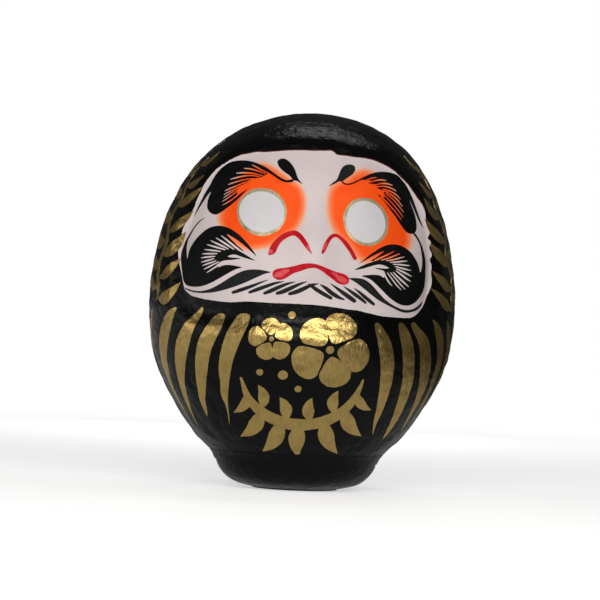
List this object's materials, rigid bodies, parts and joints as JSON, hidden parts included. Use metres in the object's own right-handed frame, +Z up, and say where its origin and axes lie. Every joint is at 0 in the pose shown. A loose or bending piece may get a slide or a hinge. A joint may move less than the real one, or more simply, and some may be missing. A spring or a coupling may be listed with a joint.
{
  "type": "daruma doll",
  "caption": "Hollow papier-mache tumbler doll with a sunken painted face, made from two shell halves on a foot cup weighted with clay.",
  "frame": {"origin": "on the resting face, below the middle of the body", "axes": "+Z up through the crown, +X towards the doll's left flank, the face looks along -Y"},
  "size_m": [0.1962, 0.1829, 0.2406],
  "materials": {
    "black_lacquer": "gloss black paint over papier-mache",
    "lacquered_strip": "gloss black paint over pasted washi",
    "raw_paper": "bare pasted washi",
    "clay": "dried clay",
    "base_label": "matte black paper"
  },
  "bodies": {
    "root": {"shell_front": "black_lacquer", "shell_rear": "black_lacquer", "foot_cup": "black_lacquer", "collar_strip": "lacquered_strip", "seam_strip_outer": "lacquered_strip", "seam_strip_inner": "raw_paper", "ballast_weight": "clay", "base_paper": "base_label"}
  },
  "joints": []
}
